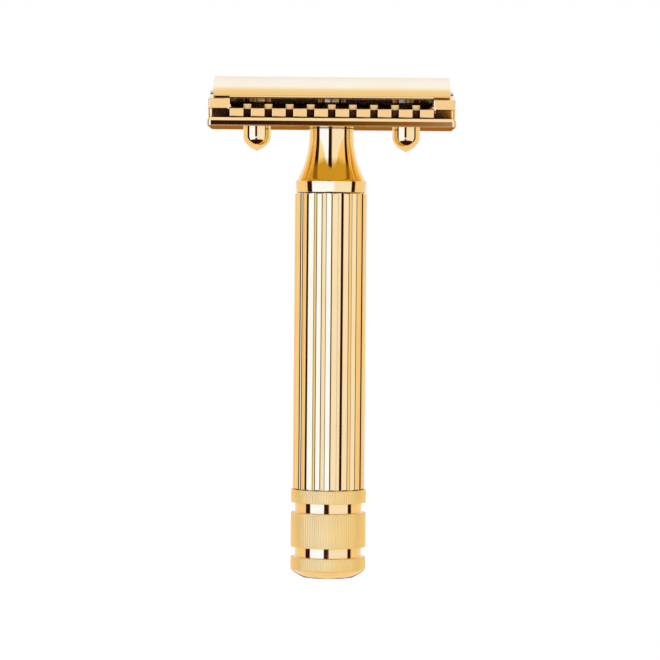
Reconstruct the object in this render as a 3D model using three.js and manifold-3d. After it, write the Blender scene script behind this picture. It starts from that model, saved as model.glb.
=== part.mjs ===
// A three-piece double-edge safety razor with an open comb, standing upright on the end of its knob.
// Millimetres, +Z up along the handle, +X along the head, origin at the centre of the knob's flat end.
// The head unscrews: a threaded stud hangs from the cap through the blade and the comb plate into the neck.
import * as THREE from "three";
import { mergeVertices } from "three/addons/utils/BufferGeometryUtils.js";
import Module from "manifold-3d";

// ---- Driving dimensions ----

const ROUND_STEPS = 36; // straight sides that stand for a full circle
const CORNER_STEPS = 3; // half the straight sides that stand for a rounded corner

// Knob: three knurled rings parted by two polished grooves, over a chamfered flat end.
const KNOB_RADIUS = 6.7;
const KNOB_FOOT_RADIUS = 4.5;
const KNOB_CHAMFER_TOP = 1.45;
const KNOB_CHAMFER_BULGE = 0.18; // how far the chamfer bows out from a straight line
const GROOVE_RADIUS = 5.9;
const LOWER_GROOVE = { bottom: 3.65, top: 5.45 };
const UPPER_GROOVE = { bottom: 11.6, top: 13.4 };
const KNOB_TOP = 15.73;

// Grip: a tube with rounded ribs all round, held between the knob's spigot and the neck's spigot.
const GRIP_RADIUS = 6.4;
const GRIP_TOP = 68.55;
const GRIP_BORE_RADIUS = 4.4;
const GRIP_EDGE = 0.2;
const RIB_COUNT = 16;
const RIB_DEPTH = 0.27; // of the valleys between the ribs
const RIB_BREADTH = 1.9; // 1 makes ribs as broad as valleys, more makes them broader
const RIB_TURN = THREE.MathUtils.degToRad(4.4); // from the front to the nearest rib's crest
const SPIGOT_RADIUS = 4.3;
const SPIGOT_LENGTH = 7;
const SEAT_GAP = 0.05; // between faces that rest on each other

// Neck: a collar band that widens a little upwards, then a concave flare up to a slim cylinder.
const COLLAR_RADIUS = 6.3;
const COLLAR_FOOT_RADIUS = 6.17;
const COLLAR_BOTTOM = 68.65;
const COLLAR_TOP = 70.9;
const COLLAR_ROUND = 0.2;
const FLARE_FOOT_RADIUS = 6.1;
const NECK_RADIUS = 3.9;
const FLARE_TOP = 79.0;
const STUD_HOLE_RADIUS = 2.5;
const STUD_HOLE_BOTTOM = 72.4;

// Comb plate: a lower bar, a narrower web, and an upper plate with a comb along each long edge.
const PLATE_BOTTOM = 80.15;
const PLATE_LENGTH = 43.7;
const PLATE_DEPTH = 25;
const PLATE_CORNER = 0.75;
const UPPER_LENGTH = 43.2; // over the two end blocks
const BAR_DEPTH = 24.8;
const BAR_TOP = 81.62;
const BAR_CHAMFER = 0.5;
const WEB_HALF_DEPTH = { bottom: 7.7, top: 8.3 };
const LEDGE_BOTTOM = 83.19;
const BED_EDGE = 84.15; // height of the bed's long edges
const BED_CREST = 84.8; // height of its arched middle
const BED_HALF_DEPTH = 10;
const TOOTH_COUNT = 10;
const TOOTH_PITCH = 3.7;
const TOOTH_WIDTH = 2.42;
const TOOTH_TIP = { bottom: 81.79, top: 83.2, bottomReach: 12.28, topReach: 12.5, thickness: 1.05 };
const BLOCK_INNER_X = 17.8; // where the comb ends and the raised end blocks begin
const BLOCK_FILLET = 0.9;
const LIP = { top: 84.97, inner: 11.25, bottomReach: 12.1, topReach: 12.37 };

// Cap: a curved bar over the blade, with two locating posts and the threaded stud fixed into it.
const CAP_LENGTH = 41.7;
const CAP_HALF_DEPTH = 10.6;
const CAP_EDGE_BOTTOM = 85.18;
const CAP_EDGE_HEIGHT = 0.42;
const CAP_UNDER_CREST = 86.77;
const CAP_CREST = 89.32;
const POST_X = 13.3;
const POST_RADIUS = 2.45;
const POST_SHOULDER = 78.5;
const POST_TIP = 76.1;
const POST_TOP = 88.0;
const STUD_RADIUS = 2.45;
const STUD_BOTTOM = 73.0;
const STUD_TOP = 88.2;
const STUD_CHAMFER = 0.5;
const FIXED_GAP = 0.03; // around a pin that is fixed in its hole
const RUNNING_GAP = 0.08; // around a pin that slides or turns in its hole

// Blade: the standard double-edge blade, bent over the end blocks by the cap.
const BLADE_THICKNESS = 0.1;
const BLADE_LENGTH = 43;
const BLADE_HALF_DEPTH = 10.9;
const BLADE_EDGE_HALF_LENGTH = 18.6;
const BLADE_TAB_HALF_DEPTH = 6.8;
const BLADE_SLOT_HALF_WIDTH = 1.0;
const BLADE_HOLE_RADIUS = 2.75;
const BLADE_GAP = 0.04;

// ---- Materials ----

const polishedGold = (colour, roughness) =>
  new THREE.MeshStandardMaterial({ color: colour, roughness, metalness: 1 });

const MATERIALS = {
  cap: polishedGold(0xf2c477, 0.08),
  centre_stud: polishedGold(0xd9a54f, 0.25),
  left_post: polishedGold(0xefbd6a, 0.1),
  right_post: polishedGold(0xefbd6a, 0.1),
  blade: new THREE.MeshStandardMaterial({ color: 0xb9bcc0, roughness: 0.22, metalness: 1 }),
  comb_plate: polishedGold(0xf0c070, 0.1),
  neck: polishedGold(0xedb962, 0.08),
  grip: polishedGold(0xefbf6c, 0.12),
  knob: polishedGold(0xeebd68, 0.22),
};

// ---- Solids: manifold-3d joins and cuts closed three.js meshes ----

const wasm = await Module();
wasm.setup();

function solidFrom(geometry) {
  const bare = geometry.clone();
  bare.deleteAttribute("normal");
  bare.deleteAttribute("uv");
  const merged = mergeVertices(bare, 1e-4);
  return new wasm.Manifold(
    new wasm.Mesh({
      numProp: 3,
      vertProperties: merged.attributes.position.array,
      triVerts: new Uint32Array(merged.index.array),
    }),
  );
}

function geometryFrom(solid) {
  const { vertProperties, triVerts } = solid.getMesh();
  const indexed = new THREE.BufferGeometry();
  indexed.setAttribute("position", new THREE.BufferAttribute(vertProperties, 3));
  indexed.setIndex(new THREE.BufferAttribute(triVerts, 1));
  const faceted = indexed.toNonIndexed();
  faceted.computeVertexNormals();
  return faceted;
}

const joinAll = (solids) => solids.reduce((whole, solid) => whole.add(solid));

// ---- Basic shapes ----

// Turns a closed [radius, height] outline, listed upwards along its outside, about the Z axis.
function turned(outline) {
  const points = outline.map(([radius, height]) => new THREE.Vector2(radius, height));
  return new THREE.LatheGeometry(points, ROUND_STEPS).rotateX(Math.PI / 2);
}

function roundBar(radius, bottom, top, x = 0) {
  const outline = [[0, bottom], [radius, bottom], [radius, top], [0, top]];
  return turned(outline).translate(x, 0, 0);
}

// Extrudes a shape drawn in X and Y upwards from one height to another, with an optional rounded edge.
function slab(shape, bottom, top, edge = 0, edgeSteps = 1, curveSegments = CORNER_STEPS) {
  const geometry = new THREE.ExtrudeGeometry(shape, {
    depth: top - bottom - 2 * edge,
    curveSegments,
    bevelEnabled: edge > 0,
    bevelThickness: edge,
    bevelSize: edge,
    bevelOffset: -edge,
    bevelSegments: edgeSteps,
  });
  return geometry.translate(0, 0, bottom + edge);
}

// Extrudes a [y, z] outline along X from one place to another.
function beam(outline, fromX, toX) {
  const shape = new THREE.Shape(outline.map(([y, z]) => new THREE.Vector2(y, z)));
  const geometry = new THREE.ExtrudeGeometry(shape, { depth: toX - fromX, bevelEnabled: false });
  // Drawn X becomes Y, drawn Y becomes Z, and the extrusion runs along X.
  geometry.applyMatrix4(new THREE.Matrix4().makeBasis(
    new THREE.Vector3(0, 1, 0), new THREE.Vector3(0, 0, 1), new THREE.Vector3(1, 0, 0),
  ));
  return geometry.translate(fromX, 0, 0);
}

function block(fromX, toX, fromY, toY, fromZ, toZ) {
  const box = new THREE.BoxGeometry(toX - fromX, toY - fromY, toZ - fromZ);
  return box.translate((fromX + toX) / 2, (fromY + toY) / 2, (fromZ + toZ) / 2);
}

function roundedRectangle(length, depth, corner) {
  const x = length / 2;
  const y = depth / 2;
  const shape = new THREE.Shape();
  shape.moveTo(x, y - corner);
  shape.absarc(x - corner, y - corner, corner, 0, Math.PI / 2);
  shape.absarc(-x + corner, y - corner, corner, Math.PI / 2, Math.PI);
  shape.absarc(-x + corner, -y + corner, corner, Math.PI, Math.PI * 1.5);
  shape.absarc(x - corner, -y + corner, corner, Math.PI * 1.5, Math.PI * 2);
  return shape;
}

// Points along an arc about [centreA, centreB], both ends included.
function arc(centreA, centreB, radius, fromAngle, toAngle, steps) {
  const points = [];
  for (let i = 0; i <= steps; i++) {
    const angle = fromAngle + ((toAngle - fromAngle) * i) / steps;
    points.push([centreA + radius * Math.cos(angle), centreB + radius * Math.sin(angle)]);
  }
  return points;
}

// ---- Curves across the head, drawn in [y, z] ----

// The radius of the arc through a crest and two points lower by drop at plus and minus reach.
const archRadius = (reach, drop) => (reach * reach + drop * drop) / (2 * drop);

const UNDER_RADIUS = archRadius(CAP_HALF_DEPTH, CAP_UNDER_CREST - CAP_EDGE_BOTTOM);
const ARCH_CENTRE = CAP_UNDER_CREST - UNDER_RADIUS;

// An arch about the head's long axis, from +reach to -reach.
function arch(radius, centre, reach, steps) {
  const lean = Math.asin(reach / radius);
  return arc(0, centre, radius, Math.PI / 2 - lean, Math.PI / 2 + lean, steps);
}

// ---- Handle ----

function makeKnob() {
  const foot = new THREE.Vector2(KNOB_FOOT_RADIUS, 0);
  const rim = new THREE.Vector2(KNOB_RADIUS, KNOB_CHAMFER_TOP);
  const slope = rim.clone().sub(foot);
  const outwards = new THREE.Vector2(slope.y, -slope.x).normalize();
  const middle = foot.clone().add(rim).multiplyScalar(0.5);
  const control = middle.addScaledVector(outwards, 2 * KNOB_CHAMFER_BULGE);
  const chamfer = new THREE.QuadraticBezierCurve(foot, control, rim).getPoints(4).map((p) => p.toArray());
  const grooves = [LOWER_GROOVE, UPPER_GROOVE].flatMap(({ bottom, top }) => [
    [KNOB_RADIUS, bottom],
    [GROOVE_RADIUS, bottom],
    [GROOVE_RADIUS, top],
    [KNOB_RADIUS, top],
  ]);
  return turned([
    [0, 0],
    ...chamfer,
    ...grooves,
    [KNOB_RADIUS, KNOB_TOP],
    [SPIGOT_RADIUS, KNOB_TOP],
    [SPIGOT_RADIUS, KNOB_TOP + SPIGOT_LENGTH],
    [0, KNOB_TOP + SPIGOT_LENGTH],
  ]);
}

function makeGrip() {
  const stepsPerRib = 6;
  const stepCount = RIB_COUNT * stepsPerRib;
  const points = [];
  for (let i = 0; i < stepCount; i++) {
    const fromCrest = Math.abs(Math.sin((i / stepsPerRib) * Math.PI));
    const dip = RIB_DEPTH * fromCrest ** (2 * RIB_BREADTH);
    const angle = (i / stepCount) * 2 * Math.PI - Math.PI / 2 + RIB_TURN;
    points.push(new THREE.Vector2(Math.cos(angle), Math.sin(angle)).multiplyScalar(GRIP_RADIUS - dip));
  }
  const outline = new THREE.Shape(points);
  outline.holes.push(new THREE.Path().absarc(0, 0, GRIP_BORE_RADIUS, 0, 2 * Math.PI, true));
  return slab(outline, KNOB_TOP + SEAT_GAP, GRIP_TOP, GRIP_EDGE, 1, ROUND_STEPS / 2);
}

function makeNeck() {
  // The flare is one arc that meets the slim cylinder smoothly and the collar just inside its upper edge.
  const drop = FLARE_TOP - COLLAR_TOP;
  const flareRadius = archRadius(drop, FLARE_FOOT_RADIUS - NECK_RADIUS);
  const sweep = Math.asin(drop / flareRadius);
  const flare = arc(NECK_RADIUS + flareRadius, FLARE_TOP, flareRadius, Math.PI + sweep, Math.PI, 8);
  return turned([
    [0, COLLAR_BOTTOM - SPIGOT_LENGTH],
    [SPIGOT_RADIUS, COLLAR_BOTTOM - SPIGOT_LENGTH],
    [SPIGOT_RADIUS, COLLAR_BOTTOM],
    ...arc(COLLAR_FOOT_RADIUS - COLLAR_ROUND, COLLAR_BOTTOM + COLLAR_ROUND, COLLAR_ROUND, -Math.PI / 2, 0, 2),
    [COLLAR_RADIUS, COLLAR_TOP - (COLLAR_RADIUS - FLARE_FOOT_RADIUS)],
    ...flare,
    [NECK_RADIUS, PLATE_BOTTOM - SEAT_GAP],
    [STUD_HOLE_RADIUS, PLATE_BOTTOM - SEAT_GAP],
    [STUD_HOLE_RADIUS, STUD_HOLE_BOTTOM],
    [0, STUD_HOLE_BOTTOM],
  ]);
}

// ---- Head ----

// The other half of an outline that is the same at plus and minus y.
const mirrored = (points) => points.map(([y, z]) => [-y, z]).reverse();

// The upper plate between the end blocks: an arched bed whose edges slope down into the teeth.
function combOutline() {
  const { bottom, top, bottomReach, topReach, thickness } = TOOTH_TIP;
  const front = [
    [BED_HALF_DEPTH, LEDGE_BOTTOM],
    [bottomReach - thickness, bottom],
    [bottomReach, bottom],
    [topReach, top],
  ];
  const bedRadius = archRadius(BED_HALF_DEPTH, BED_CREST - BED_EDGE);
  return [...front, ...arch(bedRadius, BED_CREST - bedRadius, BED_HALF_DEPTH, 10), ...mirrored(front)];
}

// The raised block at each end: a dome that the blade bends over, and a low lip in front of its corners.
function blockOutline() {
  const domeRadius = UNDER_RADIUS - 2 * BLADE_GAP - BLADE_THICKNESS;
  const front = [
    [LIP.bottomReach, LEDGE_BOTTOM],
    [LIP.topReach, LIP.top],
    [LIP.inner, LIP.top],
  ];
  return [...front, ...arch(domeRadius, ARCH_CENTRE, LIP.inner - 0.05, 12), ...mirrored(front)];
}

// A three-cornered fillet between an end block's inner face and the first tooth.
function blockFillet(sideX) {
  const corner = [
    [BLOCK_INNER_X + 0.1, LEDGE_BOTTOM],
    [BLOCK_INNER_X + 0.1, TOOTH_TIP.top + BLOCK_FILLET],
    [BLOCK_INNER_X, TOOTH_TIP.top + BLOCK_FILLET],
    [BLOCK_INNER_X - BLOCK_FILLET, TOOTH_TIP.top - 0.3],
    [BLOCK_INNER_X - BLOCK_FILLET, LEDGE_BOTTOM - 0.3],
  ];
  const drawn = sideX > 0 ? corner : corner.map(([x, z]) => [-x, z]);
  const shape = new THREE.Shape(drawn.map(([x, z]) => new THREE.Vector2(x, z)));
  const depth = 2 * LIP.bottomReach;
  const geometry = new THREE.ExtrudeGeometry(shape, { depth, bevelEnabled: false });
  return geometry.rotateX(Math.PI / 2).translate(0, depth / 2, 0);
}

function combSlots() {
  const slots = [];
  const slotWidth = TOOTH_PITCH - TOOTH_WIDTH;
  for (let i = 1; i < TOOTH_COUNT; i++) {
    const x = (i - TOOTH_COUNT / 2) * TOOTH_PITCH;
    for (const side of [-1, 1]) {
      const inner = side * BED_HALF_DEPTH;
      const outer = side * (PLATE_DEPTH / 2 + 1);
      slots.push(block(
        x - slotWidth / 2, x + slotWidth / 2,
        Math.min(inner, outer), Math.max(inner, outer),
        BAR_TOP + 0.02, BED_EDGE + 1,
      ));
    }
  }
  return slots.map(solidFrom);
}

// The web between the bar and the upper plate, leaning outwards on its way up.
function makeWeb(halfLength) {
  const { bottom, top } = WEB_HALF_DEPTH;
  const low = BAR_TOP - 0.2;
  const high = LEDGE_BOTTOM + 0.2;
  return beam([[-bottom, low], [bottom, low], [top, high], [-top, high]], -halfLength, halfLength);
}

function makeCombPlate() {
  const half = PLATE_LENGTH / 2;
  const barPlan = roundedRectangle(PLATE_LENGTH, BAR_DEPTH, PLATE_CORNER);
  const bar = slab(barPlan, PLATE_BOTTOM, BAR_TOP, BAR_CHAMFER);
  const web = makeWeb(half);
  const comb = beam(combOutline(), -BLOCK_INNER_X - 0.1, BLOCK_INNER_X + 0.1);
  const ends = [
    beam(blockOutline(), -half, -BLOCK_INNER_X),
    beam(blockOutline(), BLOCK_INNER_X, half),
  ];
  const fillets = [-1, 1].map(blockFillet);
  const rounded = roundedRectangle(UPPER_LENGTH, PLATE_DEPTH, PLATE_CORNER);
  const cornerCut = solidFrom(slab(rounded, PLATE_BOTTOM, CAP_CREST));
  const upper = joinAll([comb, ...ends, ...fillets].map(solidFrom)).intersect(cornerCut);
  const body = joinAll([upper, ...[bar, web].map(solidFrom)]);
  const holes = [
    roundBar(STUD_RADIUS + RUNNING_GAP, PLATE_BOTTOM - 1, CAP_CREST),
    ...[-POST_X, POST_X].map((x) => roundBar(POST_RADIUS + RUNNING_GAP, PLATE_BOTTOM - 1, CAP_CREST, x)),
  ].map(solidFrom);
  return geometryFrom(body.subtract(joinAll([...holes, ...combSlots()])));
}

function makeCap() {
  const edgeTop = CAP_EDGE_BOTTOM + CAP_EDGE_HEIGHT;
  const topRadius = archRadius(CAP_HALF_DEPTH, CAP_CREST - edgeTop);
  const outline = [
    ...arch(topRadius, CAP_CREST - topRadius, CAP_HALF_DEPTH, 20),
    ...arch(UNDER_RADIUS, ARCH_CENTRE, CAP_HALF_DEPTH, 12).reverse(),
  ];
  const bar = solidFrom(beam(outline, -CAP_LENGTH / 2, CAP_LENGTH / 2));
  const postHole = roundBar(POST_RADIUS + FIXED_GAP, PLATE_BOTTOM, POST_TOP + FIXED_GAP);
  const holes = [
    roundBar(STUD_RADIUS + FIXED_GAP, PLATE_BOTTOM, STUD_TOP + FIXED_GAP),
    postHole.clone().translate(-POST_X, 0, 0),
    postHole.clone().translate(POST_X, 0, 0),
  ];
  return geometryFrom(bar.subtract(joinAll(holes.map(solidFrom))));
}

// A locating post: a cylinder whose lower end narrows in a pointed arch.
function makePost() {
  const curve = new THREE.QuadraticBezierCurve(
    new THREE.Vector2(0, POST_TIP),
    new THREE.Vector2(POST_RADIUS - 0.2, POST_TIP + 0.9),
    new THREE.Vector2(POST_RADIUS, POST_SHOULDER),
  );
  return turned([...curve.getPoints(5).map((p) => p.toArray()), [POST_RADIUS, POST_TOP], [0, POST_TOP]]);
}

function makeStud() {
  return turned([
    [0, STUD_BOTTOM],
    [STUD_RADIUS - STUD_CHAMFER, STUD_BOTTOM],
    [STUD_RADIUS, STUD_BOTTOM + STUD_CHAMFER],
    [STUD_RADIUS, STUD_TOP],
    [0, STUD_TOP],
  ]);
}

// The blade's flat outline: two long edges, a narrower tab at each end, and one slot with three round holes.
function bladePlan() {
  const tab = BLADE_LENGTH / 2;
  const quarter = [
    [BLADE_EDGE_HALF_LENGTH, BLADE_HALF_DEPTH],
    [BLADE_EDGE_HALF_LENGTH, BLADE_TAB_HALF_DEPTH + 0.6],
    [BLADE_EDGE_HALF_LENGTH + 0.6, BLADE_TAB_HALF_DEPTH],
    [tab, BLADE_TAB_HALF_DEPTH],
  ];
  const right = [...quarter, ...quarter.map(([x, y]) => [x, -y]).reverse()];
  const left = right.map(([x, y]) => [-x, -y]);
  return new THREE.Shape([...right, ...left].map(([x, y]) => new THREE.Vector2(x, y)).reverse());
}

function makeBlade() {
  const topRadius = UNDER_RADIUS - BLADE_GAP;
  const sheetOutline = [
    ...arch(topRadius, ARCH_CENTRE, BLADE_HALF_DEPTH, 12),
    ...arch(topRadius - BLADE_THICKNESS, ARCH_CENTRE, BLADE_HALF_DEPTH, 12).reverse(),
  ];
  const sheet = solidFrom(beam(sheetOutline, -BLADE_LENGTH / 2 - 1, BLADE_LENGTH / 2 + 1));
  const outline = solidFrom(slab(bladePlan(), PLATE_BOTTOM, CAP_CREST));
  const holes = [-POST_X, 0, POST_X].map((x) => roundBar(BLADE_HOLE_RADIUS, PLATE_BOTTOM, CAP_CREST, x));
  const halfSlot = BLADE_SLOT_HALF_WIDTH;
  const slot = block(-POST_X, POST_X, -halfSlot, halfSlot, PLATE_BOTTOM, CAP_CREST);
  const cutters = joinAll([...holes, slot].map(solidFrom));
  return geometryFrom(sheet.intersect(outline).subtract(cutters));
}

// ---- Assembly ----

function piece(name, geometry, x = 0) {
  const mesh = new THREE.Mesh(geometry, MATERIALS[name]);
  mesh.name = name;
  mesh.position.x = x;
  return mesh;
}

const handle = new THREE.Group();
handle.add(piece("knob", makeKnob()), piece("grip", makeGrip()), piece("neck", makeNeck()));

const capAssembly = new THREE.Group();
capAssembly.add(
  piece("cap", makeCap()),
  piece("centre_stud", makeStud()),
  piece("left_post", makePost(), -POST_X),
  piece("right_post", makePost(), POST_X),
);

const head = new THREE.Group();
head.add(piece("comb_plate", makeCombPlate()), piece("blade", makeBlade()), capAssembly);

const razor = new THREE.Group();
razor.add(handle, head);

export default razor;
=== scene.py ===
"""The looks of a gold double-edge safety razor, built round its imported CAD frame.

The razor stands on the end of its knob at the origin, +Z up, with its head's long side along X.
Blender works in metres; sizes below are in millimetres and are scaled once, in make_object.
"""
import math

import bmesh
import bpy
import numpy as np
from mathutils import Euler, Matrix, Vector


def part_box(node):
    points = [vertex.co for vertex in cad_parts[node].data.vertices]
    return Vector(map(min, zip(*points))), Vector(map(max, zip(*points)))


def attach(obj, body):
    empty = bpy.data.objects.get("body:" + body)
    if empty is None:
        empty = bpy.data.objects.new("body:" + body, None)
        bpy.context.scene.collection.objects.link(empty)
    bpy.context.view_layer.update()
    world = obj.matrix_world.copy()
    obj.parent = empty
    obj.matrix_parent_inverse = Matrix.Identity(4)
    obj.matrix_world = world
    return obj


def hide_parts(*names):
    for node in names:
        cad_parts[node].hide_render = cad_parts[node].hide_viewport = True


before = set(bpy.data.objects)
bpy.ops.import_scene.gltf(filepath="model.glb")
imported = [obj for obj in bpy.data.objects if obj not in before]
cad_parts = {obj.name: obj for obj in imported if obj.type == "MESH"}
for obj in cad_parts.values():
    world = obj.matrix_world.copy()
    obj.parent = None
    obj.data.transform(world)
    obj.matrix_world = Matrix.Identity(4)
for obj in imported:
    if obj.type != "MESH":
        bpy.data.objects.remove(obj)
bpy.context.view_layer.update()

MM = 0.001


# ---- Sizes taken from the frame, in millimetres ----

def node_box(node):
    low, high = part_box(node)
    return np.array(low) / MM, np.array(high) / MM


KNOB_HIGH = node_box("knob")[1]
GRIP_LOW, GRIP_HIGH = node_box("grip")
NECK_LOW, NECK_HIGH = node_box("neck")
PLATE_LOW, PLATE_HIGH = node_box("comb_plate")
CAP_LOW, CAP_HIGH = node_box("cap")
POST_LOW, POST_HIGH = node_box("right_post")
STUD_LOW, STUD_HIGH = node_box("centre_stud")
BLADE_HIGH = node_box("blade")[1]


# ---- Driving dimensions of the fine detail, in millimetres ----

# Handle
KNOB_RADIUS = KNOB_HIGH[0]
SEAT_GAP = 0.05  # between faces that rest on each other
KNOB_TOP = GRIP_LOW[2] - SEAT_GAP
FOOT_RADIUS = 4.5
FOOT_TOP = 1.45
FOOT_BULGE = 0.18  # how far the foot's chamfer bows out from a straight line
GROOVE_RADIUS = 5.9
GROOVES = ((3.65, 5.45), (11.6, 13.4))  # the bottom and top of each
GROOVE_FILLET = 0.06
RING_CHAMFER = 0.07
KNURL_COUNT = 90
KNURL_DEPTH = 0.07
KNURL_SAMPLES = 8
SPIGOT_RADIUS = 4.3
SPIGOT_CHAMFER = 0.3
GRIP_BORE = 4.4
RIB_COUNT = 16
RIB_SAMPLES = 48
RIB_DEPTH = 0.274
RIB_BREADTH = 1.886  # 1 makes ribs as broad as valleys, more makes them broader
RIB_TURN = math.radians(4.4)  # from the front to the nearest rib's crest
GRIP_RADIUS = GRIP_HIGH[0] / math.cos(RIB_TURN)
GRIP_EDGE = 0.22
COLLAR_RADIUS = NECK_HIGH[0]
COLLAR_FOOT_RADIUS = COLLAR_RADIUS - 0.13
COLLAR_BOTTOM = GRIP_HIGH[2] + 0.1
COLLAR_TOP = COLLAR_BOTTOM + 2.25
COLLAR_ROUND = 0.2
FLARE_FOOT_RADIUS = COLLAR_RADIUS - 0.2
NECK_RADIUS = 3.9
NECK_TOP = NECK_HIGH[2]
FLARE_TOP = NECK_TOP - 1.1
STUD_HOLE_RADIUS = 2.5
STUD_HOLE_DEPTH = 7.7

# Comb plate
PLATE_BOTTOM = PLATE_LOW[2]
PLATE_HALF = PLATE_HIGH[0]
BAR_HALF_DEPTH = 12.4
BAR_HEIGHT = 1.47
BAR_BEVEL_HEIGHT = 0.52
BAR_BEVEL_DEPTH = 0.3
BAR_BOTTOM_ROUND = 0.2
WEB_FOOT_REACH = 7.7
WEB_TOP_REACH = 8.3
LEDGE = PLATE_BOTTOM + 3.04
BED_EDGE = PLATE_BOTTOM + 4.0
BED_CREST = PLATE_BOTTOM + 4.65
BED_HALF_DEPTH = 10.0
BED_LEAN = 0.07  # how far the bed's edge face leans out at its top
TOOTH_COUNT = 10
TOOTH_PITCH = 3.7
TOOTH_WIDTH = 2.44
TOOTH_TOP = PLATE_BOTTOM + 3.05
TOOTH_BOTTOM = PLATE_BOTTOM + 1.64
TOOTH_TOP_REACH = PLATE_HIGH[1]
TOOTH_BOTTOM_REACH = TOOTH_TOP_REACH - 0.22
BLOCK_INNER = 17.8
BLOCK_OUTER = PLATE_HALF - 0.25
LIP_TOP = PLATE_BOTTOM + 4.82
LIP_TOP_REACH = 12.37
LIP_FOOT_REACH = 12.1
LIP_INNER = 11.25
EDGE = 0.12  # the rounding of plain edges

# Cap, posts, stud and blade
CAP_HALF = CAP_HIGH[0]
CAP_REACH = CAP_HIGH[1]
CAP_CREST = CAP_HIGH[2]
CAP_BOTTOM = CAP_LOW[2]
CAP_EDGE = 0.42
UNDER_CREST = CAP_BOTTOM + 1.59
POST_X = (POST_LOW[0] + POST_HIGH[0]) / 2
POST_RADIUS = (POST_HIGH[0] - POST_LOW[0]) / 2
POST_TIP = POST_LOW[2]
POST_SHOULDER = POST_TIP + 2.4
STUD_RADIUS = STUD_HIGH[0]
FIXED_GAP = 0.03
RUNNING_GAP = 0.08
THREAD_PITCH = 0.8
THREAD_DEPTH = 0.42
THREAD_RUN_OUT = 0.4
STUD_LEAD_IN = 0.6
STUD_LEAD_LENGTH = 0.7
BLADE_THICKNESS = 0.1
BLADE_GAP = 0.04
BLADE_HALF_LENGTH = BLADE_HIGH[0]
BLADE_FLAT_REACH = 10.97
BLADE_EDGE_HALF_LENGTH = 18.6
BLADE_TAB_REACH = 6.8
BLADE_GRIND = 1.1
BLADE_GRIND_SHARE = 0.9  # of the thickness, ground away at the very edge
BLADE_HOLE_RADIUS = 2.75
BLADE_SLOT_REACH = POST_X + 4.6
BLADE_SLOT_HALF_WIDTH = 0.85


# ---- Outlines ----

def arc(centre, radius, start, end, steps):
    """Points on an arc about a centre, angles in radians, both ends included."""
    angles = np.linspace(start, end, steps + 1)
    return [(centre[0] + radius * math.cos(a), centre[1] + radius * math.sin(a)) for a in angles]


def curve(start, control, end, steps):
    """Points on a quadratic curve, both ends included."""
    start, control, end = np.array(start), np.array(control), np.array(end)
    shares = np.linspace(0, 1, steps + 1)[:, None]
    points = (1 - shares) ** 2 * start + 2 * shares * (1 - shares) * control + shares ** 2 * end
    return [tuple(p) for p in points]


def arch_radius(reach, drop):
    """The radius of an arch whose ends lie at plus and minus reach, drop below its crest."""
    return (reach * reach + drop * drop) / (2 * drop)


def arch(radius, centre, reach, steps):
    """An arch from +reach to -reach, with its centre at a height on the vertical axis."""
    lean = math.asin(reach / radius)
    return arc((0, centre), radius, math.pi / 2 - lean, math.pi / 2 + lean, steps)


def rounded(corners, steps=4):
    """A closed outline from (x, y, radius) corners, each one rounded by its radius."""
    points = []
    for i, (x, y, radius) in enumerate(corners):
        corner = np.array((x, y))
        if radius == 0:
            points.append((x, y))
            continue
        to_last = np.array(corners[i - 1][:2]) - corner
        to_next = np.array(corners[(i + 1) % len(corners)][:2]) - corner
        to_last /= np.linalg.norm(to_last)
        to_next /= np.linalg.norm(to_next)
        half = math.acos(float(np.clip(to_last @ to_next, -1, 1))) / 2
        middle = to_last + to_next
        middle /= np.linalg.norm(middle)
        centre = corner + middle * radius / math.sin(half)
        start = corner + to_last * radius / math.tan(half) - centre
        sweep = math.pi - 2 * half
        turn = 1 if to_last[0] * to_next[1] - to_last[1] * to_next[0] < 0 else -1
        for share in np.linspace(0, 1, steps + 1):
            c, s = math.cos(turn * sweep * share), math.sin(turn * sweep * share)
            points.append((centre[0] + c * start[0] - s * start[1], centre[1] + s * start[0] + c * start[1]))
    return points


def inset(outline, distance):
    """A closed anticlockwise outline moved inwards by a distance."""
    points = np.array(outline, float)
    after = np.roll(points, -1, 0) - points
    after /= np.linalg.norm(after, axis=1)[:, None]
    inwards = np.stack((-after[:, 1], after[:, 0]), 1)
    before = np.roll(inwards, 1, 0)
    meet = (inwards + before) / (1 + np.sum(inwards * before, 1))[:, None]
    return [tuple(p) for p in points + meet * distance]


def mirrored(outline):
    """The outline's mirror image in its vertical axis, turning the same way."""
    return [(-x, y) for x, y in reversed(outline)]


# ---- Meshes ----

def shade(obj, sharp_degrees):
    """Smooth faces with hard edges where two faces meet at more than an angle."""
    mesh = obj.data
    mesh.shade_smooth()
    mesh.set_sharp_from_angle(angle=math.radians(sharp_degrees))
    keep = obj.modifiers.new("even_normals", "WEIGHTED_NORMAL")
    keep.keep_sharp = True


def make_object(name, vertices, faces):
    """A mesh object from millimetres, with its faces turned outwards."""
    mesh = bpy.data.meshes.new(name)
    mesh.from_pydata([tuple(c * MM for c in v) for v in vertices], [], faces)
    bm = bmesh.new()
    bm.from_mesh(mesh)
    bmesh.ops.remove_doubles(bm, verts=bm.verts, dist=1e-8)
    bmesh.ops.recalc_face_normals(bm, faces=bm.faces)
    bm.to_mesh(mesh)
    bm.free()
    obj = bpy.data.objects.new(name, mesh)
    bpy.context.scene.collection.objects.link(obj)
    return obj


def loft(name, rings):
    """A closed body through rings of equally many points, with a flat face over each end ring."""
    count = len(rings[0])
    vertices = [point for ring in rings for point in ring]
    faces = []
    for r in range(len(rings) - 1):
        for i in range(count):
            j = (i + 1) % count
            faces.append((r * count + i, r * count + j, (r + 1) * count + j, (r + 1) * count + i))
    faces.append(tuple(range(count)))
    faces.append(tuple((len(rings) - 1) * count + i for i in range(count)))
    return make_object(name, vertices, faces)


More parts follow.
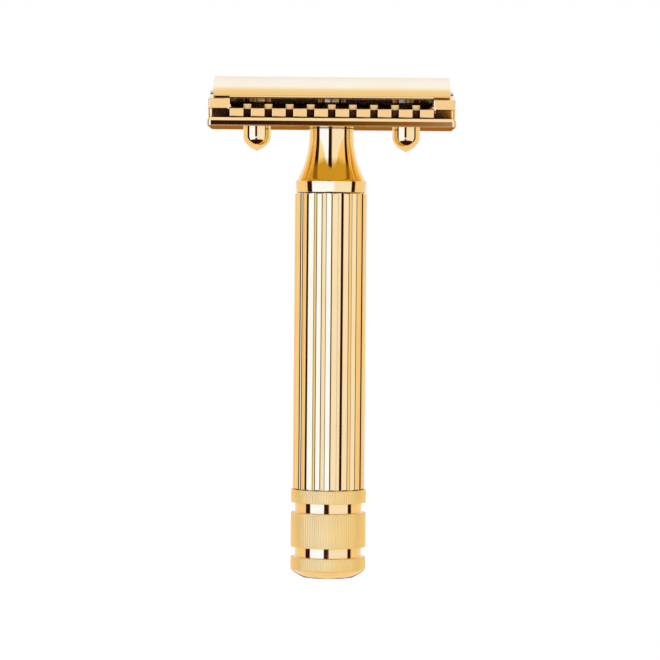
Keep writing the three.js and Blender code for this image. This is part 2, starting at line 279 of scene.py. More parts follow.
def turned(name, rows, steps, radius_at=lambda angle, radius, height: radius, x=0):
    """A body turned about a vertical axis through rows of (radius, height)."""
    angles = np.linspace(0, 2 * math.pi, steps, endpoint=False)
    rings = []
    for radius, height in rows:
        radii = [radius_at(a, radius, height) for a in angles]
        rings.append([(x + r * math.cos(a), r * math.sin(a), height) for r, a in zip(radii, angles)])
    return loft(name, rings)


def edge_steps(edge, steps=4):
    """(inset, distance from the end) pairs round a quarter circle, from the end face inwards."""
    angles = np.linspace(0, math.pi / 2, steps + 1)
    return [(edge * (1 - math.sin(a)), edge * (1 - math.cos(a))) for a in angles]


def beam(name, outline, start, end, edge=EDGE):
    """A (y, z) outline run along X, with its end edges rounded."""
    steps = edge_steps(edge)
    stations = [(start + along, inwards) for inwards, along in steps]
    stations += [(end - along, inwards) for inwards, along in reversed(steps)]
    return loft(name, [[(x, y, z) for y, z in inset(outline, inwards)] for x, inwards in stations])


def slab(name, outline, bottom, top, bottom_edge, bevel_height, bevel_depth):
    """An (x, y) outline run upwards, with a rounded lower edge and a bevelled upper edge."""
    stations = [(bottom + along, inwards) for inwards, along in edge_steps(bottom_edge)]
    stations += [(top - bevel_height, 0), (top, bevel_depth)]
    return loft(name, [[(x, y, z) for x, y in inset(outline, inwards)] for z, inwards in stations])


def combine(obj, others, operation):
    """Joins other bodies to obj, or cuts them from it, and deletes them."""
    group = bpy.data.collections.new(obj.name + "_parts")
    bpy.context.scene.collection.children.link(group)
    for other in others:
        group.objects.link(other)
    boolean = obj.modifiers.new(operation.lower(), "BOOLEAN")
    boolean.operation = operation
    boolean.solver = "EXACT"
    boolean.operand_type = "COLLECTION"
    boolean.collection = group
    evaluated = obj.evaluated_get(bpy.context.evaluated_depsgraph_get())
    made = bpy.data.meshes.new_from_object(evaluated)
    obj.modifiers.clear()
    obj.data = made
    obj.data.name = obj.name
    for other in others:
        bpy.data.objects.remove(other)
    bpy.data.collections.remove(group)
    return obj


# ---- Handle ----

def make_knob():
    """Knurled rings, polished grooves and a bowed chamfer round the flat end, under the grip's spigot."""
    middle = ((FOOT_RADIUS + KNOB_RADIUS) / 2 + FOOT_BULGE, FOOT_TOP / 2 - FOOT_BULGE)
    rows = [(FOOT_RADIUS - 0.25, 0)]
    rows += curve((FOOT_RADIUS, 0), middle, (KNOB_RADIUS, FOOT_TOP), 22)
    for bottom, top in GROOVES:
        rows += [(KNOB_RADIUS, bottom - RING_CHAMFER), (KNOB_RADIUS - RING_CHAMFER, bottom)]
        rows += [(GROOVE_RADIUS + GROOVE_FILLET, bottom), (GROOVE_RADIUS, bottom + GROOVE_FILLET)]
        rows += [(GROOVE_RADIUS, top - GROOVE_FILLET), (GROOVE_RADIUS + GROOVE_FILLET, top)]
        rows += [(KNOB_RADIUS - RING_CHAMFER, top), (KNOB_RADIUS, top + RING_CHAMFER)]
    rows += [(KNOB_RADIUS, KNOB_TOP - RING_CHAMFER), (KNOB_RADIUS - RING_CHAMFER, KNOB_TOP)]
    rows += [(SPIGOT_RADIUS, KNOB_TOP), (SPIGOT_RADIUS, KNOB_HIGH[2] - SPIGOT_CHAMFER)]
    rows += [(SPIGOT_RADIUS - SPIGOT_CHAMFER, KNOB_HIGH[2])]

    def knurled(angle, radius, height):
        reed = abs(math.sin(angle * KNURL_COUNT / 2))
        return min(radius, KNOB_RADIUS - KNURL_DEPTH * (1 - reed))

    return turned("knob_turned", rows, KNURL_COUNT * KNURL_SAMPLES, knurled)


def make_grip():
    """The ribbed tube: rounded ribs and narrower valleys run its whole length, and its ends are rounded."""
    def ribbed(angle, radius, height):
        if radius < GRIP_BORE + 0.5:
            return radius
        from_crest = abs(math.sin((angle + math.pi / 2 - RIB_TURN) * RIB_COUNT / 2))
        return min(radius, GRIP_RADIUS - RIB_DEPTH * from_crest ** (2 * RIB_BREADTH))

    bottom, top = GRIP_LOW[2], GRIP_HIGH[2]
    rounding = [(GRIP_RADIUS - inwards, along) for inwards, along in edge_steps(GRIP_EDGE, 6)]
    rows = [(GRIP_BORE, bottom)]
    rows += [(radius, bottom + along) for radius, along in rounding]
    rows += [(radius, top - along) for radius, along in reversed(rounding)]
    rows += [(GRIP_BORE, top)]
    tube = turned("grip_ribbed", rows, RIB_COUNT * RIB_SAMPLES, ribbed)
    bore = turned("grip_bore", [(GRIP_BORE, bottom - 1), (GRIP_BORE, top + 1)], 96)
    return combine(tube, [bore], "DIFFERENCE")


def make_neck():
    """The collar band and the concave flare, with the spigot below and the stud's hole above."""
    drop = FLARE_TOP - COLLAR_TOP
    radius = arch_radius(drop, FLARE_FOOT_RADIUS - NECK_RADIUS)
    sweep = math.asin(drop / radius)
    rows = [(SPIGOT_RADIUS - SPIGOT_CHAMFER, NECK_LOW[2]), (SPIGOT_RADIUS, NECK_LOW[2] + SPIGOT_CHAMFER)]
    rows += [(SPIGOT_RADIUS, COLLAR_BOTTOM)]
    round_centre = (COLLAR_FOOT_RADIUS - COLLAR_ROUND, COLLAR_BOTTOM + COLLAR_ROUND)
    rows += arc(round_centre, COLLAR_ROUND, -math.pi / 2, 0, 6)
    rows += [(COLLAR_RADIUS, COLLAR_TOP - 0.24), (COLLAR_RADIUS - 0.04, COLLAR_TOP - 0.14)]
    rows += arc((NECK_RADIUS + radius, FLARE_TOP), radius, math.pi + sweep, math.pi, 48)
    rows += [(NECK_RADIUS, NECK_TOP - 0.03), (NECK_RADIUS - 0.03, NECK_TOP)]
    rows += [(STUD_HOLE_RADIUS + 0.2, NECK_TOP), (STUD_HOLE_RADIUS, NECK_TOP - 0.2)]
    rows += [(STUD_HOLE_RADIUS, NECK_TOP - STUD_HOLE_DEPTH), (0.3, NECK_TOP - STUD_HOLE_DEPTH - 0.4)]
    return turned("neck_flared", rows, 288)


# ---- Comb plate ----

def rectangle(half_x, half_y, corner, steps=8):
    """A closed rectangle about the origin with rounded corners."""
    corners = [(half_x, half_y), (-half_x, half_y), (-half_x, -half_y), (half_x, -half_y)]
    return rounded([(x, y, corner) for x, y in corners], steps)


def make_tooth(side, centre):
    """One tooth of the comb: it slopes down from the bed and ends in a face that leans a little forwards."""
    root = BED_HALF_DEPTH - 0.6
    outline = [(root, LEDGE + 0.02), (BED_HALF_DEPTH + 0.1, LEDGE + 0.02)]
    outline += curve((BED_HALF_DEPTH + 0.7, LEDGE - 0.1), (TOOTH_BOTTOM_REACH - 1.0, TOOTH_BOTTOM + 0.5),
                     (TOOTH_BOTTOM_REACH - 0.9, TOOTH_BOTTOM), 5)
    outline += arc((TOOTH_BOTTOM_REACH - 0.14, TOOTH_BOTTOM + 0.12), 0.12, -math.pi / 2, 0, 4)
    outline += arc((TOOTH_TOP_REACH - 0.1, TOOTH_TOP - 0.06), 0.1, 0, math.radians(65), 4)
    outline += [(BED_HALF_DEPTH - 0.1, BED_EDGE - 0.01), (root, BED_EDGE - 0.01)]
    if side < 0:
        outline = mirrored(outline)
    half_width = TOOTH_WIDTH / 2
    return beam("tooth", outline, centre - half_width, centre + half_width)


def make_bed():
    """The arched bed between the end blocks, with edge faces that show at the ends of the comb's slots."""
    low = (BED_HALF_DEPTH - BED_LEAN, LEDGE)
    high = (BED_HALF_DEPTH + BED_LEAN, BED_EDGE - 0.1)
    radius = arch_radius(BED_HALF_DEPTH, BED_CREST - BED_EDGE)
    crest = arch(radius, BED_CREST - radius, BED_HALF_DEPTH - 0.02, 40)
    outline = [low, high] + crest + [(-high[0], high[1]), (-low[0], low[1])]
    return beam("comb_plate_polished", outline, -BLOCK_INNER - 0.6, BLOCK_INNER + 0.6)


def make_web():
    """The recessed web between the bar and the upper plate, leaning outwards on its way up."""
    low, high = PLATE_BOTTOM + BAR_HEIGHT - 0.3, LEDGE + 0.3
    slope = (WEB_TOP_REACH - WEB_FOOT_REACH) / (high - low)
    rings = []
    for z in (low, high):
        reach = WEB_FOOT_REACH + slope * (z - low)
        rings.append([(x, y, z) for x, y in rectangle(PLATE_HALF - 0.05, reach, 0.75)])
    return loft("web", rings)


def make_end_block(side):
    """A raised block at one end: a dome under the blade, and a lip before and behind the blade's corner."""
    crest = arch(UNDER_RADIUS - 2 * BLADE_GAP - BLADE_THICKNESS, ARCH_CENTRE, LIP_INNER - 0.05, 40)
    front = [(LIP_FOOT_REACH, LEDGE, 0.1), (LIP_TOP_REACH, LIP_TOP, 0.1), (LIP_INNER, LIP_TOP, 0)]
    back = [(-y, z, r) for y, z, r in reversed(front)]
    outline = rounded(front + [(y, z, 0) for y, z in crest] + back)
    ends = sorted((side * BLOCK_INNER, side * BLOCK_OUTER))
    return beam("end_block", outline, ends[0], ends[1], 0.22)


def make_block_fillet(side):
    """The web between an end block's inner face and the comb's first tooth, curving down to the tooth."""
    reach = LIP_FOOT_REACH + 0.06
    inner = BLOCK_INNER - 0.95
    low, high = TOOTH_TOP - 0.5, TOOTH_TOP + 1.0
    outline = [(BLOCK_INNER + 0.3, low), (BLOCK_INNER + 0.3, high)]
    outline += curve((BLOCK_INNER + 0.03, high), (BLOCK_INNER - 0.12, TOOTH_TOP + 0.25),
                     (inner, TOOTH_TOP - 0.06), 8)
    outline += [(inner, low)]
    outline = [(side * x, z) for x, z in outline]
    rings = []
    for y, inwards in [(-reach, EDGE), (-reach + EDGE, 0), (reach - EDGE, 0), (reach, EDGE)]:
        ring = inset(outline if side < 0 else outline[::-1], inwards)
        rings.append([(x, y, z) for x, z in ring])
    return loft("block_fillet", rings)


def make_comb_plate():
    """The lower bar, web, bed, teeth and end blocks as one body, with its three holes."""
    plate = make_bed()
    parts = [
        slab("bar", rectangle(PLATE_HALF, BAR_HALF_DEPTH, 0.75), PLATE_BOTTOM, PLATE_BOTTOM + BAR_HEIGHT,
             BAR_BOTTOM_ROUND, BAR_BEVEL_HEIGHT, BAR_BEVEL_DEPTH),
        make_web(),
    ]
    for side in (-1, 1):
        parts += [make_end_block(side), make_block_fillet(side)]
        for i in range(TOOTH_COUNT):
            parts.append(make_tooth(side, (i - (TOOTH_COUNT - 1) / 2) * TOOTH_PITCH))
    combine(plate, parts, "UNION")
    hole_radius = POST_RADIUS + RUNNING_GAP
    holes = [
        turned("hole", [(hole_radius, PLATE_BOTTOM - 1), (hole_radius, CAP_CREST)], 96, x=x)
        for x in (-POST_X, 0, POST_X)
    ]
    return combine(plate, holes, "DIFFERENCE")


# ---- Cap, posts and stud ----

UNDER_RADIUS = arch_radius(CAP_REACH, UNDER_CREST - CAP_BOTTOM)
ARCH_CENTRE = UNDER_CREST - UNDER_RADIUS


def make_cap():
    """The curved bar: an arched top, a narrow edge face, and an arched underside that bends the blade."""
    edge_top = CAP_BOTTOM + CAP_EDGE
    top_radius = arch_radius(CAP_REACH - 0.02, CAP_CREST - edge_top)
    over = arch(top_radius, CAP_CREST - top_radius, CAP_REACH - 0.07, 96)
    under = arch(UNDER_RADIUS, ARCH_CENTRE, CAP_REACH - 0.11, 48)[::-1]
    right = [(CAP_REACH - 0.08, CAP_BOTTOM + 0.02), (CAP_REACH - 0.06, CAP_BOTTOM + 0.06),
             (CAP_REACH, edge_top - 0.08), (CAP_REACH - 0.02, edge_top - 0.03)]
    left = [(-y, z) for y, z in reversed(right)]
    bar = beam("cap_polished", right + over + left + under, -CAP_HALF, CAP_HALF)
    pins = (
        (-POST_X, POST_RADIUS, POST_HIGH[2]),
        (0, STUD_RADIUS, STUD_HIGH[2]),
        (POST_X, POST_RADIUS, POST_HIGH[2]),
    )
    holes = [
        turned("hole", [(radius + FIXED_GAP, PLATE_BOTTOM), (radius + FIXED_GAP, top + FIXED_GAP)], 96, x=x)
        for x, radius, top in pins
    ]
    return combine(bar, holes, "DIFFERENCE")


def make_post(name, x):
    """A polished pin that ends in a pointed arch."""
    rows = curve((0.02, POST_TIP), (POST_RADIUS - 0.2, POST_TIP + 0.9), (POST_RADIUS, POST_SHOULDER), 24)
    rows += [(POST_RADIUS, POST_SHOULDER + 0.3), (POST_RADIUS, POST_HIGH[2])]
    return turned(name, rows, 144, x=x)


def make_stud():
    """A screw whose right-hand thread runs out into a plain shank under the cap."""
    start, end = STUD_LOW[2], STUD_HIGH[2]
    thread_end = BED_EDGE - 0.4
    threaded = [(STUD_RADIUS, z) for z in np.arange(start + 0.02, thread_end, THREAD_PITCH / 12)]
    rows = [(STUD_RADIUS - STUD_LEAD_IN, start)] + threaded
    rows += [(STUD_RADIUS, thread_end + 0.3), (STUD_RADIUS, end)]

    def thread(angle, radius, height):
        turn = (height / THREAD_PITCH - angle / (2 * math.pi)) % 1
        ridge = min(1, 2.3 * (1 - abs(2 * turn - 1)))
        lead_in = min(1, max(0, (height - start) / STUD_LEAD_LENGTH))
        run_out = min(1, max(0, (height - thread_end + THREAD_RUN_OUT) / THREAD_RUN_OUT))
        depth = THREAD_DEPTH * (1 - ridge) * (1 - run_out)
        return min(radius, STUD_RADIUS - STUD_LEAD_IN * (1 - lead_in)) - depth

    return turned("stud_threaded", rows, 72, thread)


# ---- Blade ----

def blade_plan():
    """The flat blade's outline: long edges, narrower tabs, and small notches where they meet."""
    edge, tab = BLADE_EDGE_HALF_LENGTH, BLADE_HALF_LENGTH
    quarter = [(edge, BLADE_FLAT_REACH, 0.15), (edge, BLADE_TAB_REACH + 0.5, 0.3),
               (edge + 0.5, BLADE_TAB_REACH, 0.2), (tab, BLADE_TAB_REACH, 0.4)]
    right = quarter + [(x, -y, r) for x, y, r in reversed(quarter)]
    left = [(-x, -y, r) for x, y, r in right]
    return rounded((right + left)[::-1])


def blade_thickness(y):
    """Half the blade's thickness at a distance from its middle: the cutting edges are ground thin."""
    ground = max(0.0, (abs(y) - (BLADE_FLAT_REACH - BLADE_GRIND)) / BLADE_GRIND)
    return BLADE_THICKNESS / 2 * (1 - BLADE_GRIND_SHARE * ground)


def make_blade():
    """A thin steel sheet with one long slot and three round holes, bent over the end blocks."""
    outline = blade_plan()
    half = BLADE_THICKNESS / 2
    sheet = loft("blade_ground", [[(x, y, -half) for x, y in outline], [(x, y, half) for x, y in outline]])
    cutters = [
        turned("hole", [(BLADE_HOLE_RADIUS, -1), (BLADE_HOLE_RADIUS, 1)], 72, x=x)
        for x in (-POST_X, 0, POST_X)
    ]
    slot = rectangle(BLADE_SLOT_REACH, BLADE_SLOT_HALF_WIDTH, 0.8)
    cutters.append(loft("slot", [[(x, y, -1) for x, y in slot], [(x, y, 1) for x, y in slot]]))
    for cutter in cutters[1:]:
        combine(cutters[0], [cutter], "UNION")
    combine(sheet, [cutters[0]], "DIFFERENCE")
    bend_blade(sheet)
    return sheet


def bend_blade(sheet):
    """Cuts the flat sheet into narrow strips, thins its edges, and rolls it to the cap's underside."""
    bm = bmesh.new()
    bm.from_mesh(sheet.data)
    bmesh.ops.triangulate(bm, faces=bm.faces)
    for y in np.linspace(-BLADE_FLAT_REACH, BLADE_FLAT_REACH, 46)[1:-1]:
        everything = bm.verts[:] + bm.edges[:] + bm.faces[:]
        bmesh.ops.bisect_plane(bm, geom=everything, plane_co=(0, y * MM, 0), plane_no=(0, 1, 0))
    middle = UNDER_RADIUS - BLADE_GAP - BLADE_THICKNESS / 2
    for vertex in bm.verts:
        flat = vertex.co.y / MM
        side = 1 if vertex.co.z > 0 else -1
        radius = middle + side * blade_thickness(flat)
        angle = flat / middle
        vertex.co.y = radius * math.sin(angle) * MM
        vertex.co.z = (ARCH_CENTRE + radius * math.cos(angle)) * MM
    bmesh.ops.dissolve_degenerate(bm, edges=bm.edges, dist=1e-8)
    bmesh.ops.recalc_face_normals(bm, faces=bm.faces)
    bm.to_mesh(sheet.data)
    bm.free()


# ---- Materials ----

BRIGHTEST = 5.0  # of the studio's light in any one channel


class Nodes:
    """A short way to add and join shader nodes."""

    def __init__(self, tree):
        self.tree = tree
        self.tree.nodes.clear()

    def add(self, kind, inputs=None, **settings):
        node = self.tree.nodes.new(kind)
        for key, value in settings.items():
            setattr(node, key, value)
        for key, value in (inputs or {}).items():
            self.put(node.inputs[key], value)
        return node

    def put(self, socket, value):
        if isinstance(value, bpy.types.NodeSocket):
            self.tree.links.new(value, socket)
        else:
            socket.default_value = value

    def math(self, operation, a, b=0.0, clamp=False):
        node = self.add("ShaderNodeMath", {0: a, 1: b}, operation=operation, use_clamp=clamp)
        return node.outputs[0]

    def ramp(self, value, low, high, to_low=0.0, to_high=1.0, smooth=False):
        """value from low..high mapped to to_low..to_high, held at the ends."""
        kind = "SMOOTHSTEP" if smooth else "LINEAR"
        node = self.add("ShaderNodeMapRange", {0: value, 1: low, 2: high, 3: to_low, 4: to_high},
                        interpolation_type=kind)
        return node.outputs[0]

    def mix(self, share, a, b):
        node = self.add("ShaderNodeMix", data_type="RGBA")
        self.put(node.inputs[0], share)
        self.put(node.inputs[6], a)
        self.put(node.inputs[7], b)
        return node.outputs[2]

    def hidden(self, reach, own_shape_only):
        """How much of its surroundings a point can't see, within a reach in millimetres."""
        node = self.add("ShaderNodeAmbientOcclusion", {"Distance": reach * MM}, samples=6,
                        only_local=own_shape_only)
        return self.math("SUBTRACT", 1.0, node.outputs["AO"], clamp=True)

    def metal(self, colour, rough, bump, mirror=1.0):
        """The metal shader and the material's output. Less mirror makes a softer, more matt metal."""
        shader = self.add("ShaderNodeBsdfPrincipled", {
            "Base Color": colour, "Metallic": mirror, "Roughness": rough, "Normal": bump.outputs[0],
        })
        out = self.add("ShaderNodeOutputMaterial")
        self.tree.links.new(shader.outputs[0], out.inputs[0])

    def stops(self, share, levels):
        """A colour by share, from (share, colour) stops. Colours may be up to BRIGHTEST."""
        node = self.add("ShaderNodeValToRGB", {0: share})
        elements = node.color_ramp.elements
        elements.remove(elements[1])
        for i, (place, colour) in enumerate(levels):
            element = elements[0] if i == 0 else elements.new(place)
            element.position = place
            element.color = tuple(c / BRIGHTEST for c in colour) + (1,)
        node = self.add("ShaderNodeVectorMath", {0: node.outputs[0], "Scale": BRIGHTEST}, operation="SCALE")
        return node.outputs[0]

    def noise(self, position, scale, detail=3.0, stretch=(1, 1, 1)):
        moved = self.add("ShaderNodeMapping", {"Vector": position, "Scale": stretch})
        node = self.add("ShaderNodeTexNoise", {"Vector": moved.outputs[0], "Scale": scale, "Detail": detail})
        return node.outputs["Fac"]


GOLD = (0.985, 0.69, 0.21, 1)
DEEP_GOLD = (0.95, 0.60, 0.15, 1)
# Darker, browner gold, mixed into corners.
CORNER_BROWN = (0.60, 0.29, 0.05, 1)
SATIN_GOLD = (1.0, 0.64, 0.13, 1)
# Painted shade: the near-black mixed into deep recesses, seams and the hidden blade, where little light
# reaches.
PAINTED_SHADE = (0.09, 0.032, 0.012, 1)
BLADE_STEEL = (0.64, 0.50, 0.26, 1)
BLADE_BLOTCH = (0.70, 0.56, 0.32, 1)
GROUND_STEEL = (0.76, 0.64, 0.44, 1)

# Scales of the noise in gold plate, per metre.
CLOUD_SCALE = 130
SMUDGE_SCALE = 420
MARK_SCALE = 2600

# How far, in millimetres, the metal looks round itself for its corners, seams and deep recesses.
CORNER_REACH = 0.9
SEAM_REACH = 0.5
DEEP_REACH = 3.5
BUMP_DEPTH = 0.004  # of the brush marks, in millimetres


def new_material(name):
    material = bpy.data.materials.new(name)
    material.use_nodes = True
    return material, Nodes(material.node_tree)


def gold_material(name, polish, grain=(1, 1, 1), corner_darkening=0.5, tone=1.0,
                  painted_recess_shade=False, painted_seam_shade=False, satin_at=None):
    """Gold plate. polish is its roughness, grain stretches its brush marks, and the corner setting darkens
    and browns its corners; the recess and seam switches paint shade into deep recesses and seams.

    satin_at gives how much a point lies on a satin part: rougher, paler and less of a mirror.
    """
    material, n = new_material(name)
    position = n.add("ShaderNodeTexCoord").outputs["Object"]
    cloud = n.noise(position, CLOUD_SCALE, 4)
    marks = n.noise(position, MARK_SCALE, 4, grain)
    smudge = n.noise(position, SMUDGE_SCALE, 5)
    lean = n.ramp(cloud, 0.35, 0.68, 0.0, 0.35)
    plated = n.mix(lean, tuple(c * tone for c in GOLD[:3]) + (1,), DEEP_GOLD)
    # Corners turn darker and browner by how little of its own shape a point sees.
    corners = n.math("MULTIPLY", n.hidden(CORNER_REACH, True), corner_darkening, clamp=True)
    colour = n.mix(corners, plated, CORNER_BROWN)
    rough = n.ramp(marks, 0.3, 0.7, polish * 0.75, polish * 1.25)
    rough = n.math("ADD", rough, n.ramp(smudge, 0.52, 0.75, 0.0, 0.02))
    mirror = 1.0
    if satin_at:
        satin = satin_at(n, position)
        colour = n.mix(n.math("MULTIPLY", satin, 0.8), colour, SATIN_GOLD)
        rough = n.math("ADD", rough, n.math("MULTIPLY", satin, 0.3))
        mirror = n.ramp(satin, 0.0, 1.0, 1.0, 0.55)
    # Painted shade: points hidden deep in recesses, such as the comb's slots and web, turn near-black and
    # rougher.
    if painted_recess_shade:
        deep = n.ramp(n.hidden(DEEP_REACH, False), 0.6, 0.85, smooth=True)
        colour = n.mix(deep, colour, PAINTED_SHADE)
        rough = n.math("ADD", rough, n.math("MULTIPLY", deep, 0.35))
    # Painted shade: points close to another part, as at the seams between collar, grip and knob, turn
    # near-black and rougher.
    if painted_seam_shade:
        seam = n.ramp(n.hidden(SEAM_REACH, False), 0.3, 0.6, smooth=True)
        colour = n.mix(seam, colour, PAINTED_SHADE)
        rough = n.math("ADD", rough, n.math("MULTIPLY", seam, 0.3))
    bump = n.add("ShaderNodeBump", {"Strength": 0.12, "Distance": BUMP_DEPTH * MM, "Height": marks})
    n.metal(colour, rough, bump, mirror)
    return material


def knurled(n, position):
    """How much a point on the knob lies on the satin knurled rings: the outer radius tells them apart."""
    flat = n.add("ShaderNodeVectorMath", {0: position, 1: (1, 1, 0)}, operation="MULTIPLY")
    radius = n.add("ShaderNodeVectorMath", {0: flat.outputs[0]}, operation="LENGTH").outputs["Value"]
    height = n.add("ShaderNodeSeparateXYZ", {0: position}).outputs[2]
    outside = n.ramp(radius, (GROOVE_RADIUS + 0.2) * MM, (GROOVE_RADIUS + 0.4) * MM)
    above_foot = n.ramp(height, (FOOT_TOP - 0.15) * MM, (FOOT_TOP - 0.05) * MM)
    return n.math("MULTIPLY", outside, above_foot)


def steel_material():
    """Blade steel: brushed along its length, brighter and finer where the edges are ground, with painted
    shade where it lies deeply hidden.
    """
    material, n = new_material("blade_steel")
    position = n.add("ShaderNodeTexCoord").outputs["Object"]
    marks = n.noise(position, 1500, 4, (0.04, 1, 1))
    blotches = n.noise(position, 260, 3)
    across = n.math("ABSOLUTE", n.add("ShaderNodeSeparateXYZ", {0: position}).outputs[1])
    ground = n.ramp(across, (BLADE_FLAT_REACH - 1.4) * MM, (BLADE_FLAT_REACH - 1.2) * MM)
    plain = n.mix(n.ramp(blotches, 0.4, 0.65), BLADE_STEEL, BLADE_BLOTCH)
    colour = n.mix(ground, plain, GROUND_STEEL)
    rough = n.math("ADD", n.ramp(marks, 0.3, 0.7, 0.16, 0.34), n.math("MULTIPLY", ground, -0.08))
    bump = n.add("ShaderNodeBump", {"Strength": 0.25, "Distance": BUMP_DEPTH * MM, "Height": marks})
    # Painted shade: the blade turns near-black where it lies deeply hidden, under the cap and over the bed.
    deep = n.ramp(n.hidden(DEEP_REACH, False), 0.35, 0.6, smooth=True)
    n.metal(n.mix(deep, colour, PAINTED_SHADE), rough, bump)
    return material


# ---- Stage ----

FLOOR_HALF = 650
FLOOR_GAP = 0.02  # below the razor's foot
FLOOR_PALE = (0.80, 0.80, 0.80, 1)
FLOOR_PALER = (0.84, 0.84, 0.84, 1)
FLOOR_GLOW = 1.1
FLOOR_GLOW_SHARE = 0.82


def make_floor():
    """A pale studio table that glows enough to stay white, with only a soft shadow at the razor's foot."""
    corners = [(x * FLOOR_HALF, y * FLOOR_HALF, 0) for x, y in ((-1, -1), (1, -1), (1, 1), (-1, 1))]
    floor = make_object("floor", corners, [(0, 1, 2, 3)])
    floor.location.z = -FLOOR_GAP * MM
    material, n = new_material("floor_pale")
    speckle = n.noise(n.add("ShaderNodeTexCoord").outputs["Object"], 900, 2)
    tint = n.mix(speckle, FLOOR_PALE, FLOOR_PALER)
    matte = n.add("ShaderNodeBsdfDiffuse", {"Color": tint, "Roughness": 0.9})
    glow = n.add("ShaderNodeEmission", {"Color": (1, 1, 1, 1), "Strength": FLOOR_GLOW})
    both = n.add("ShaderNodeMixShader", {0: FLOOR_GLOW_SHARE, 1: matte.outputs[0], 2: glow.outputs[0]})
    out = n.add("ShaderNodeOutputMaterial")
    n.tree.links.new(both.outputs[0], out.inputs[0])
    floor.data.materials.append(material)
    # The studio paints what the metal sees below the horizon, so the table itself stays out of it.
    floor.visible_glossy = False


# Light seen in the metal, as linear colours. Bright soft boxes are bluer, so that gold turns pale in them.
# DARK to DUSK are flags and the room beyond them, WARM to WHITE soft boxes, and the rest the room's walls.
DARK = (0.03, 0.008, 0.004)
BROWN = (0.37, 0.12, 0.012)
DUSK = (0.38, 0.19, 0.04)
WARM = (0.95, 0.86, 0.95)
PEACH = (0.96, 0.91, 1.40)
CREAM = (0.975, 1.09, 2.15)
WHITE = (1.0, 1.42, 4.3)
HAZE = (0.95, 0.98, 1.08)
AMBER = (0.62, 0.47, 0.07)
ROOM = (0.64, 0.61, 0.33)
DIM_ROOM = (0.30, 0.22, 0.08)

# What stands round the razor, by azimuth in degrees: 0 is towards the camera, minus is to its left.
LEFT_FLAG = ((-180, WARM), (-86, WARM), (-85, DARK), (-66.5, DARK), (-65, WHITE))
RIGHT_FLAG = ((71, CREAM), (72.5, DARK), (86.5, DARK), (88, WARM), (180, WARM))
SLIT = ((-15.5, WHITE), (-14, DARK), (-0.2, DARK), (0.6, (0.24, 0.10, 0.015)), (2.4, DUSK), (3.8, CREAM))
AROUND = LEFT_FLAG + SLIT + RIGHT_FLAG
BELOW_SLIT = LEFT_FLAG + ((6, WHITE), (14, CREAM)) + RIGHT_FLAG
TABLE_FRONT = LEFT_FLAG + ((-16, WHITE), (-9, PEACH), (9, PEACH), (16, CREAM)) + RIGHT_FLAG
FOOT = ((-180, WARM), (-84, WARM), (-76, DARK), (76, DARK), (84, WARM), (180, WARM))
LOW_SLIT = LEFT_FLAG + ((-16.5, WHITE), (-15, DARK), (2, DARK), (4, CREAM)) + RIGHT_FLAG
ROOM_FLAGS = (
    (-180, ROOM), (-87, ROOM), (-84, DIM_ROOM), (-68, DIM_ROOM), (-64, ROOM),
    (70, ROOM), (73.5, DIM_ROOM), (86, DIM_ROOM), (89, ROOM), (180, ROOM),
)
CEILING = ((-180, AMBER), (-16, AMBER), (-14, DARK), (2.2, DARK), (5, AMBER), (180, AMBER))

# What takes the place of AROUND lower down and higher up, with the elevations between which it fades in.
LOWER_AND_HIGHER = (
    (BELOW_SLIT, -5.8, -7.0),
    (TABLE_FRONT, -10.8, -12.2),
    (LOW_SLIT, -24.0, -27.0),
    (FOOT, -36.0, -40.0),
    (CEILING, 30.0, 41.0),
)

# What stands behind the razor and overhead, by elevation in degrees.
BEHIND = (
    (-90, WARM), (-9, WARM), (4, HAZE), (20, HAZE), (27, (0.94, 1.09, 1.72)), (38, (0.97, 1.21, 2.32)),
    (50, (0.97, 1.28, 3.0)), (56, (1.0, 1.27, 2.9)), (61, (0.98, 1.07, 1.98)), (65, (0.92, 0.92, 1.32)),
    (72, (0.90, 0.86, 1.03)), (90, (0.90, 0.86, 1.03)),
)
# The dark table and its edge far behind, seen only in faces that look straight back.
FAR_EDGE = (
    (-90, WARM), (-44, WARM), (-40, DARK), (-3.4, DARK), (-3.0, BROWN), (-0.3, BROWN), (0, DARK), (3, DARK),
    (4, HAZE), (90, HAZE),
)


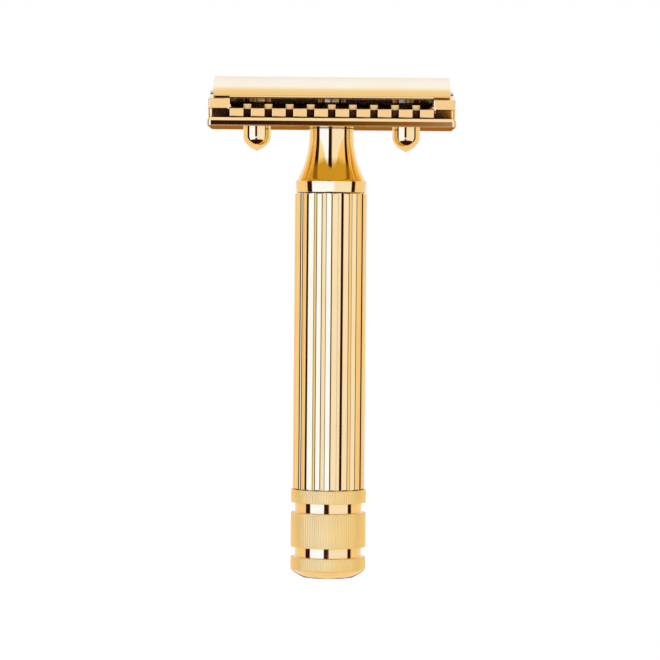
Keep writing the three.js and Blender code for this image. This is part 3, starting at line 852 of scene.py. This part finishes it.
def make_studio():
    """Soft boxes and flags painted on the world. The camera itself sees plain white."""
    world = bpy.data.worlds.new("studio")
    bpy.context.scene.world = world
    world.use_nodes = True
    n = Nodes(world.node_tree)
    direction = n.add("ShaderNodeSeparateXYZ", {0: n.add("ShaderNodeTexCoord").outputs["Generated"]})
    x, y, z = direction.outputs
    azimuth = n.math("MULTIPLY", n.math("ARCTAN2", x, n.math("MULTIPLY", y, -1.0)), math.degrees(1))
    elevation = n.math("MULTIPLY", n.math("ARCSINE", z), math.degrees(1))
    turn = n.ramp(azimuth, -180.0, 180.0)
    rise = n.ramp(elevation, -90.0, 90.0)

    path = n.add("ShaderNodeLightPath")

    def ring(levels):
        return n.stops(turn, [((degrees + 180) / 360, colour) for degrees, colour in levels])

    def tower(levels):
        return n.stops(rise, [((degrees + 90) / 180, colour) for degrees, colour in levels])

    def replace(light, other, measure, start, end):
        """The other light instead of this one, fading in as a measure goes from start to end."""
        return n.mix(n.ramp(measure, start, end), light, other)

    light = ring(AROUND)
    for levels, start, end in LOWER_AND_HIGHER:
        light = replace(light, ring(levels), elevation, start, end)
    light = replace(light, WARM + (1,), elevation, -83.0, -87.0)
    light = replace(light, tower(BEHIND), elevation, 48.0, 52.0)
    away = n.math("ABSOLUTE", azimuth)
    light = replace(light, tower(BEHIND), away, 140.0, 155.0)
    far_level = n.math("MULTIPLY", n.ramp(away, 168.0, 173.0), n.ramp(elevation, 10.0, 6.0))
    light = n.mix(far_level, light, tower(FAR_EDGE))
    # Gold seen in gold looks down on a dimmer, warmer table.
    second_look = n.ramp(path.outputs["Glossy Depth"], 1.4, 1.5)
    light = n.mix(n.math("MULTIPLY", second_look, n.ramp(elevation, -27.0, -36.0)), light, ring(ROOM_FLAGS))
    shown = n.mix(path.outputs["Is Camera Ray"], light, (1, 1, 1, 1))
    background = n.add("ShaderNodeBackground", {"Color": shown, "Strength": 1.0})
    out = n.add("ShaderNodeOutputWorld")
    n.tree.links.new(background.outputs[0], out.inputs[0])


# Distances are in millimetres and angles in degrees. The pitch looks downwards.
CAMERA_DISTANCE = 638.7
CAMERA_HEIGHT = 62.9
CAMERA_SHIFT = 0.03
CAMERA_LENS = 195
CAMERA_PITCH = 1.68
CAMERA_ROLL = 0.5


def make_camera():
    """A long lens level with the upper grip, as a product photograph is taken."""
    data = bpy.data.cameras.new("camera")
    data.lens = CAMERA_LENS
    data.sensor_width = 36
    data.clip_start = 0.01
    data.clip_end = 10
    camera = bpy.data.objects.new("camera", data)
    bpy.context.scene.collection.objects.link(camera)
    camera.location = (CAMERA_SHIFT * MM, -CAMERA_DISTANCE * MM, CAMERA_HEIGHT * MM)
    aim = Euler((math.radians(90 - CAMERA_PITCH), 0, 0)).to_matrix()
    roll = Euler((0, 0, math.radians(CAMERA_ROLL))).to_matrix()
    camera.rotation_euler = (aim @ roll).to_euler()
    bpy.context.scene.camera = camera


# ---- Assembly ----

def dress(obj, material, body, node, sharp_degrees=34):
    """Gives a piece its material and body, and lets it stand for a CAD node."""
    obj.data.materials.clear()
    obj.data.materials.append(material)
    shade(obj, sharp_degrees)
    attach(obj, body)
    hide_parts(node)


KNOB_GOLD = gold_material("knob_gold", 0.05, (1, 1, 0.05), corner_darkening=0.2, satin_at=knurled)
dress(make_knob(), KNOB_GOLD, "handle", "knob")
GRIP_GOLD = gold_material("grip_gold", 0.05, (1, 1, 0.03), corner_darkening=0.2, painted_seam_shade=True)
dress(make_grip(), GRIP_GOLD, "handle", "grip", 40)
NECK_GOLD = gold_material("neck_gold", 0.045, (1, 1, 6), painted_seam_shade=True)
dress(make_neck(), NECK_GOLD, "handle", "neck", 20)
PLATE_GOLD = gold_material("plate_gold", 0.05, (0.2, 1, 1), corner_darkening=0.45, painted_recess_shade=True)
dress(make_comb_plate(), PLATE_GOLD, "comb_plate", "comb_plate", 28)
dress(make_cap(), gold_material("cap_gold", 0.06, (0.1, 1, 1)), "cap", "cap")
dress(make_stud(), gold_material("stud_gold", 0.08, (1, 1, 4), tone=0.95), "cap", "centre_stud")
POST_GOLD = gold_material("post_gold", 0.045, (1, 1, 4))
dress(make_post("left_post_pointed", -POST_X), POST_GOLD, "cap", "left_post")
dress(make_post("right_post_pointed", POST_X), POST_GOLD, "cap", "right_post")
dress(make_blade(), steel_material(), "blade", "blade")

make_floor()
make_studio()
make_camera()
bpy.context.scene.view_settings.view_transform = "Standard"
